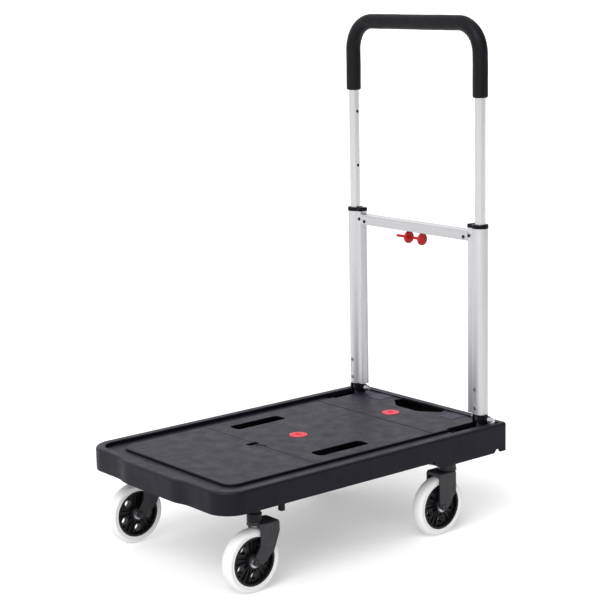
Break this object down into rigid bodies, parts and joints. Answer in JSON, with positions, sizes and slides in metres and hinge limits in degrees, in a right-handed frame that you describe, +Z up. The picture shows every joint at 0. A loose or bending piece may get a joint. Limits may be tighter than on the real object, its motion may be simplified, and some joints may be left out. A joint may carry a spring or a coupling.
{
  "type": "folding platform cart",
  "caption": "Flat platform cart with a folding, telescoping U-shaped handle, swivel casters at the front and rigid casters at the rear.",
  "frame": {"origin": "on the floor, below the middle of the cart's outline", "axes": "+Z up, +Y from the front end to the handle end, +X to the right when looking along +Y"},
  "size_m": [0.46, 0.74, 1.0449],
  "materials": {
    "deck_plastic": "fine-grained matt charcoal polypropylene",
    "red_plastic": "smooth red plastic with a soft gloss",
    "black_plastic": "satin black nylon",
    "black_steel": "satin charcoal powder coat",
    "zinc_steel": "bright zinc plating",
    "post_aluminium": "silver anodised extrusion with fine lengthwise drawing lines",
    "tube_aluminium": "silver anodised drawn tube",
    "tyre_white": "smooth off-white thermoplastic rubber",
    "wheel_core_black": "moulded black polypropylene",
    "foam_black": "closed-cell foam with a soft skin"
  },
  "bodies": {
    "deck": {"axle_rear_left": "black_steel", "axle_rear_right": "black_steel", "badge_middle": "red_plastic", "badge_rear": "red_plastic", "bracket_rear_left": "black_steel", "bracket_rear_right": "black_steel", "bracket_screws": "black_steel", "caster_screws": "zinc_steel", "deck": "deck_plastic", "hinge_bracket_left": "black_steel", "hinge_bracket_right": "black_steel", "kingpin_front_left": "zinc_steel", "kingpin_front_right": "zinc_steel", "mount_plate_front_left": "black_steel", "mount_plate_front_right": "black_steel", "swivel_housing_front_left": "black_steel", "swivel_housing_front_right": "black_steel"},
    "handle_lower": {"collar_left": "black_plastic", "collar_right": "black_plastic", "crossbar": "post_aluminium", "crossbar_plugs": "black_plastic", "crossbar_screws": "black_steel", "pivot_bolt_left": "zinc_steel", "pivot_bolt_right": "zinc_steel", "pivot_foot_left": "black_plastic", "pivot_foot_right": "black_plastic", "post_left": "post_aluminium", "post_right": "post_aluminium", "rivets": "zinc_steel", "rod_guides": "black_plastic", "spring_left": "zinc_steel", "spring_right": "zinc_steel"},
    "handle_upper": {"foam_grip": "foam_black", "glide_bush_left": "black_plastic", "glide_bush_right": "black_plastic", "handle_tube": "tube_aluminium"},
    "release_left": {"lock_pin_left": "zinc_steel", "pull_rod_left": "zinc_steel", "release_plate_left": "red_plastic"},
    "release_right": {"lock_pin_right": "zinc_steel", "pull_rod_right": "zinc_steel", "release_plate_right": "red_plastic"},
    "caster_front_left": {"axle_front_left": "black_steel", "fork_front_left": "black_steel"},
    "caster_front_right": {"axle_front_right": "black_steel", "fork_front_right": "black_steel"},
    "wheel_front_left": {"bearings_front_left": "zinc_steel", "tyre_front_left": "tyre_white", "wheel_core_front_left": "wheel_core_black"},
    "wheel_front_right": {"bearings_front_right": "zinc_steel", "tyre_front_right": "tyre_white", "wheel_core_front_right": "wheel_core_black"},
    "wheel_rear_left": {"bearings_rear_left": "zinc_steel", "tyre_rear_left": "tyre_white", "wheel_core_rear_left": "wheel_core_black"},
    "wheel_rear_right": {"bearings_rear_right": "zinc_steel", "tyre_rear_right": "tyre_white", "wheel_core_rear_right": "wheel_core_black"}
  },
  "joints": [
    {"name": "handle_fold", "type": "hinge", "parent": "deck", "child": "handle_lower", "pos_m": [0, 0.3302, 0.223], "axis": [1, 0, 0], "range_deg": [0, 88]},
    {"name": "handle_slide", "type": "slide", "parent": "handle_lower", "child": "handle_upper", "axis": [0, 0, 1], "range_m": [-0.236, 0]},
    {"name": "release_left_slide", "type": "slide", "parent": "handle_lower", "child": "release_left", "axis": [1, 0, 0], "range_m": [0, 0.008], "stiffness_N_per_m": 900, "springref_m": -0.004, "deforming": ["spring_left"]},
    {"name": "release_right_slide", "type": "slide", "parent": "handle_lower", "child": "release_right", "axis": [1, 0, 0], "range_m": [-0.008, 0], "stiffness_N_per_m": 900, "springref_m": 0.004, "deforming": ["spring_right"]},
    {"name": "swivel_front_left", "type": "hinge", "parent": "deck", "child": "caster_front_left", "pos_m": [-0.1925, -0.266, 0.145], "axis": [0, 0, 1], "continuous": true},
    {"name": "roll_front_left", "type": "hinge", "parent": "caster_front_left", "child": "wheel_front_left", "pos_m": [-0.1925, -0.2776, 0.0625], "axis": [1, 0, 0], "continuous": true},
    {"name": "roll_rear_left", "type": "hinge", "parent": "deck", "child": "wheel_rear_left", "pos_m": [-0.1925, 0.205, 0.0625], "axis": [1, 0, 0], "continuous": true},
    {"name": "swivel_front_right", "type": "hinge", "parent": "deck", "child": "caster_front_right", "pos_m": [0.1925, -0.266, 0.145], "axis": [0, 0, 1], "continuous": true},
    {"name": "roll_front_right", "type": "hinge", "parent": "caster_front_right", "child": "wheel_front_right", "pos_m": [0.1925, -0.2776, 0.0625], "axis": [1, 0, 0], "continuous": true},
    {"name": "roll_rear_right", "type": "hinge", "parent": "deck", "child": "wheel_rear_right", "pos_m": [0.1925, 0.205, 0.0625], "axis": [1, 0, 0], "continuous": true}
  ],
  "couplings": [
    {"joint": "release_right_slide", "follows": "release_left_slide", "ratio": -1}
  ]
}
